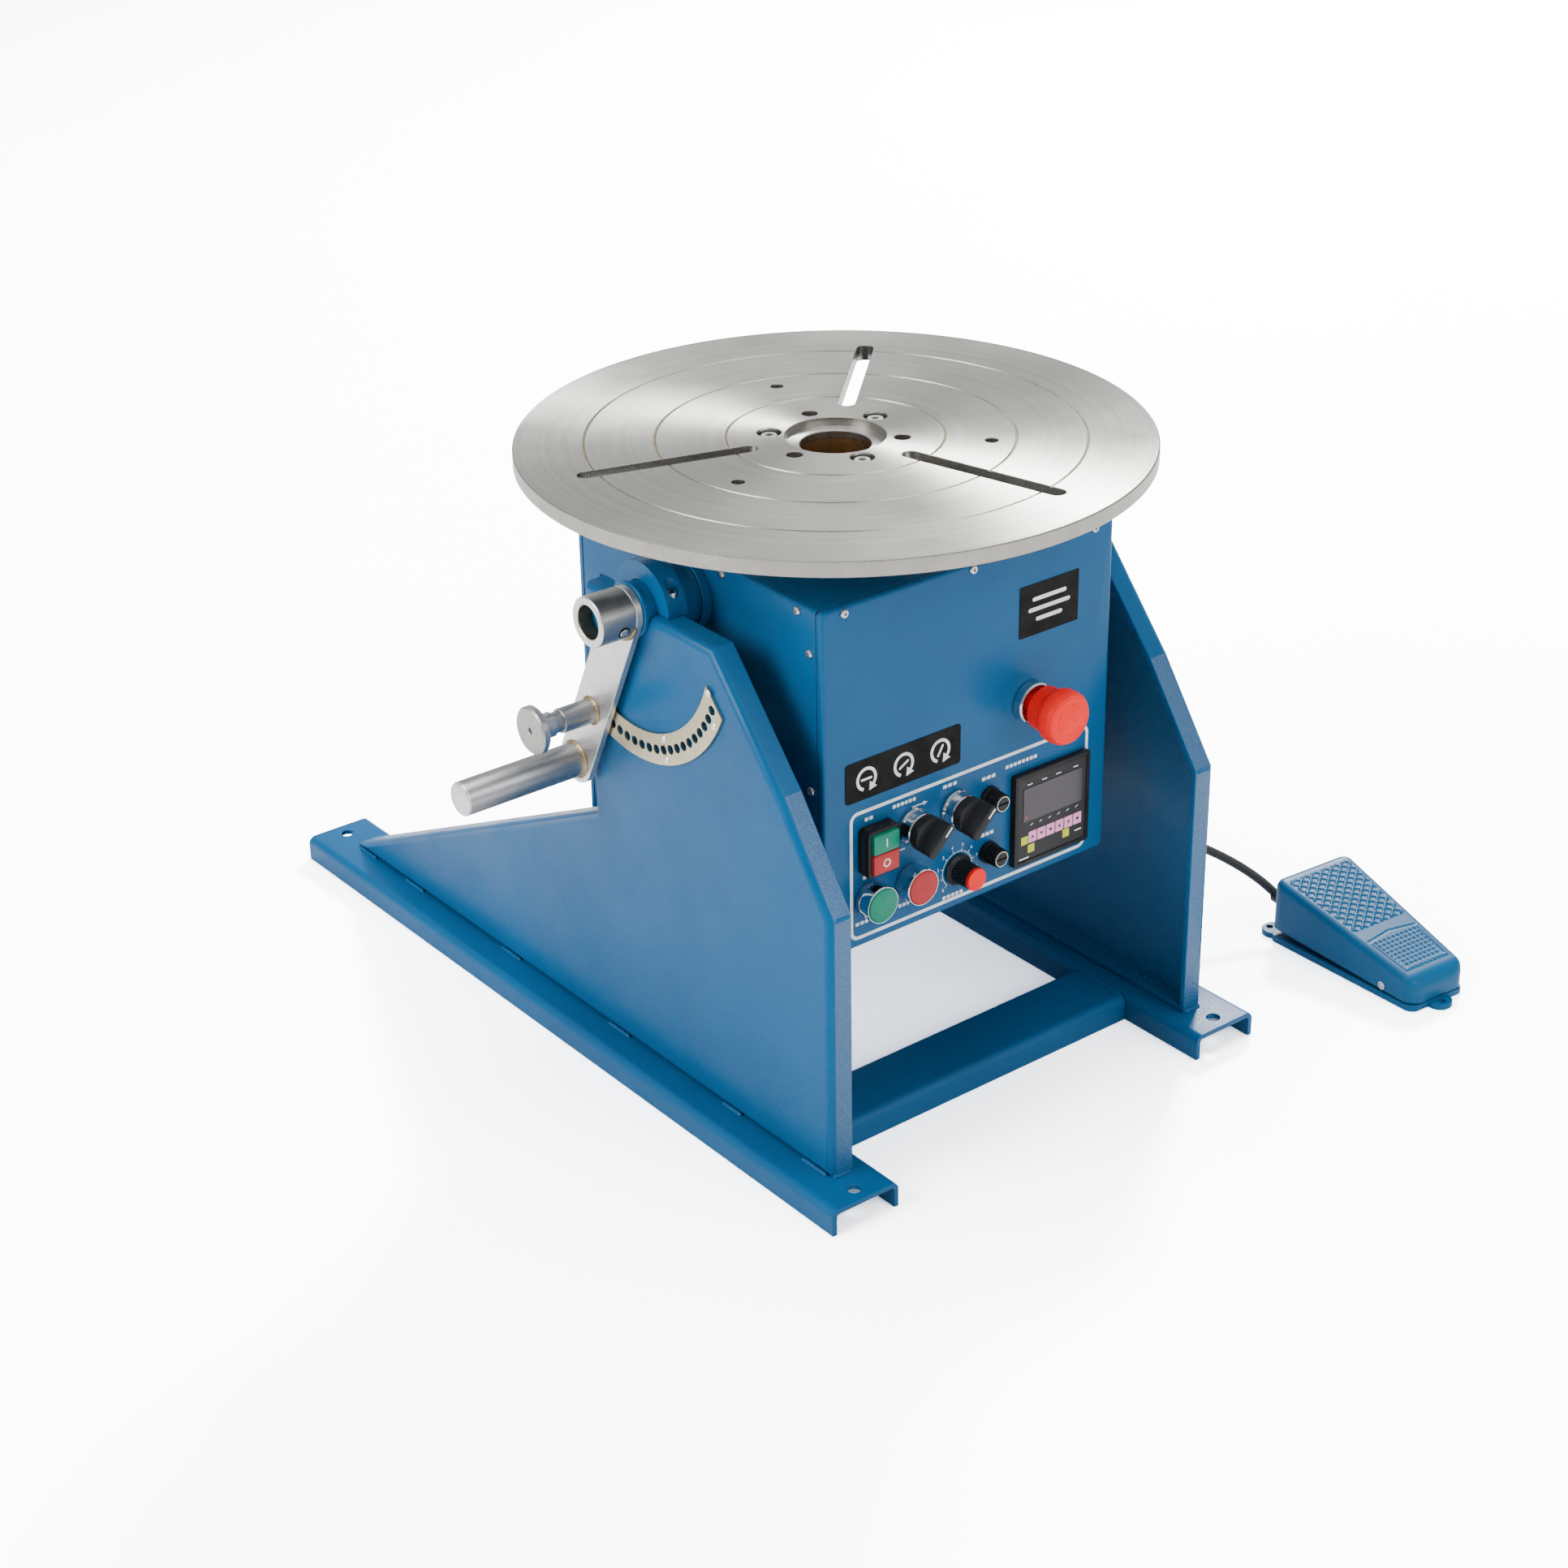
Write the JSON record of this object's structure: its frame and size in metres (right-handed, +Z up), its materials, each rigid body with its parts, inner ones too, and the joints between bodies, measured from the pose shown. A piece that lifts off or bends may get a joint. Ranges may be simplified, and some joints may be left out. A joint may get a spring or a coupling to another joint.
{
  "type": "tilting rotary table",
  "caption": "Motor-driven slotted rotary table on a tilting housing between steel side plates, with index lever, control panel and foot switch.",
  "frame": {"origin": "on the floor under the middle of the whole outline, foot switch included", "axes": "+Z up along the table's axis at rest, -Y towards the control panel's side, -X towards the tilt lever's side"},
  "size_m": [0.7508, 0.8458, 0.507],
  "materials": {
    "blue_paint": "gloss blue machine enamel with light orange peel",
    "pedal_paint": "gloss blue enamel on pressed steel",
    "machined_steel": "faced on a lathe, fine concentric marks",
    "zinc_steel": "zinc plated",
    "dark_steel": "oiled dark steel and cast iron",
    "nickel_plate": "warm satin nickel",
    "chrome": "polished chrome",
    "bearing_steel": "ground steel",
    "bronze": "turned bronze colour",
    "black_plastic": "satin black moulded plastic",
    "red_plastic": "satin red moulded plastic",
    "green_plastic": "satin green moulded plastic",
    "cable_rubber": "matt cable sheath",
    "board_green": "circuit board"
  },
  "bodies": {
    "stand": {"left_base_channel": "blue_paint", "right_base_channel": "blue_paint", "front_cross_channel": "blue_paint", "rear_cross_channel": "blue_paint", "left_side_plate": "blue_paint", "right_side_plate": "blue_paint", "left_bearing_cap": "blue_paint", "right_bearing_cap": "blue_paint", "left_trunnion_bush": "bronze", "right_trunnion_bush": "bronze", "angle_scale": "nickel_plate", "cable_gland": "black_plastic", "foot_cable": "cable_rubber", "pedal_base": "pedal_paint", "pedal_pin": "zinc_steel", "pedal_switch": "black_plastic", "pedal_spring": "zinc_steel"},
    "tilt_head": {"housing_shell": "blue_paint", "front_panel": "blue_paint", "rear_cover": "blue_paint", "left_trunnion": "blue_paint", "right_trunnion": "blue_paint", "lever_sleeve": "zinc_steel", "lever_arm": "zinc_steel", "lever_grip": "zinc_steel", "plunger_guide": "zinc_steel", "plunger_spring": "zinc_steel", "bearing_housing": "dark_steel", "upper_bearing": "bearing_steel", "lower_bearing": "bearing_steel", "motor_bracket": "zinc_steel", "gearbox": "dark_steel", "drive_motor": "dark_steel", "control_board": "board_green", "display_unit": "black_plastic", "estop_base": "chrome", "switch_frame": "black_plastic", "direction_base": "chrome", "auto_base": "chrome", "start_bezel": "chrome", "stop_bezel": "chrome", "upper_fuse_holder": "black_plastic", "lower_fuse_holder": "black_plastic", "speed_control": "zinc_steel"},
    "turntable": {"table": "machined_steel", "spindle": "bronze", "spindle_gear": "dark_steel"},
    "pinion": {"motor_pinion": "bearing_steel"},
    "plunger": {"index_plunger": "zinc_steel"},
    "treadle": {"pedal_treadle": "pedal_paint"},
    "estop": {"estop_head": "red_plastic"},
    "start": {"start_button": "green_plastic"},
    "stop": {"stop_button": "red_plastic"},
    "on": {"on_key": "green_plastic"},
    "off": {"off_key": "red_plastic"},
    "direction": {"direction_knob": "black_plastic"},
    "auto": {"auto_knob": "black_plastic"},
    "speed": {"speed_knob": "black_plastic"},
    "upper_cap": {"upper_fuse_cap": "black_plastic"},
    "lower_cap": {"lower_fuse_cap": "black_plastic"}
  },
  "joints": [
    {"name": "tilt", "type": "hinge", "parent": "stand", "child": "tilt_head", "pos_m": [-0.0584, -0.07917, 0.417], "axis": [-1, 0, 0], "range_deg": [0, 90]},
    {"name": "table_spin", "type": "hinge", "parent": "tilt_head", "child": "turntable", "pos_m": [-0.0584, -0.07917, 0.507], "axis": [0, 0, 1], "continuous": true},
    {"name": "pinion_spin", "type": "hinge", "parent": "tilt_head", "child": "pinion", "pos_m": [-0.0584, -0.00417, 0.417], "axis": [0, 0, 1], "continuous": true},
    {"name": "index_pin", "type": "slide", "parent": "tilt_head", "child": "plunger", "axis": [1, 0, 0], "range_m": [0, 0.007]},
    {"name": "treadle_rock", "type": "hinge", "parent": "stand", "child": "treadle", "pos_m": [0.32359, -0.37705, 0.0125], "axis": [-0.9973, 0.0732, 0], "range_deg": [0, 3], "stiffness_Nm_per_rad": 6, "deforming": ["pedal_spring"]},
    {"name": "estop_press", "type": "slide", "parent": "tilt_head", "child": "estop", "axis": [0, 1, 0], "range_m": [0, 0.005]},
    {"name": "start_press", "type": "slide", "parent": "tilt_head", "child": "start", "axis": [0, 1, 0], "range_m": [0, 0.003]},
    {"name": "stop_press", "type": "slide", "parent": "tilt_head", "child": "stop", "axis": [0, 1, 0], "range_m": [0, 0.003]},
    {"name": "on_press", "type": "slide", "parent": "tilt_head", "child": "on", "axis": [0, 1, 0], "range_m": [0, 0.0025]},
    {"name": "off_press", "type": "slide", "parent": "tilt_head", "child": "off", "axis": [0, 1, 0], "range_m": [0, 0.0025]},
    {"name": "direction_turn", "type": "hinge", "parent": "tilt_head", "child": "direction", "pos_m": [-0.1164, -0.24077, 0.25], "axis": [0, -1, 0], "range_deg": [0, 90]},
    {"name": "auto_turn", "type": "hinge", "parent": "tilt_head", "child": "auto", "pos_m": [-0.0729, -0.24077, 0.251], "axis": [0, -1, 0], "range_deg": [0, 90]},
    {"name": "speed_turn", "type": "hinge", "parent": "tilt_head", "child": "speed", "pos_m": [-0.0704, -0.24077, 0.196], "axis": [0, 1, 0], "range_deg": [0, 270]},
    {"name": "upper_cap_turn", "type": "hinge", "parent": "tilt_head", "child": "upper_cap", "pos_m": [-0.0384, -0.24077, 0.249], "axis": [0, -1, 0], "range_deg": [0, 90]},
    {"name": "lower_cap_turn", "type": "hinge", "parent": "tilt_head", "child": "lower_cap", "pos_m": [-0.0389, -0.24077, 0.2005], "axis": [0, -1, 0], "range_deg": [0, 90]}
  ],
  "couplings": [
    {"joint": "pinion_spin", "follows": "table_spin", "ratio": -4}
  ]
}
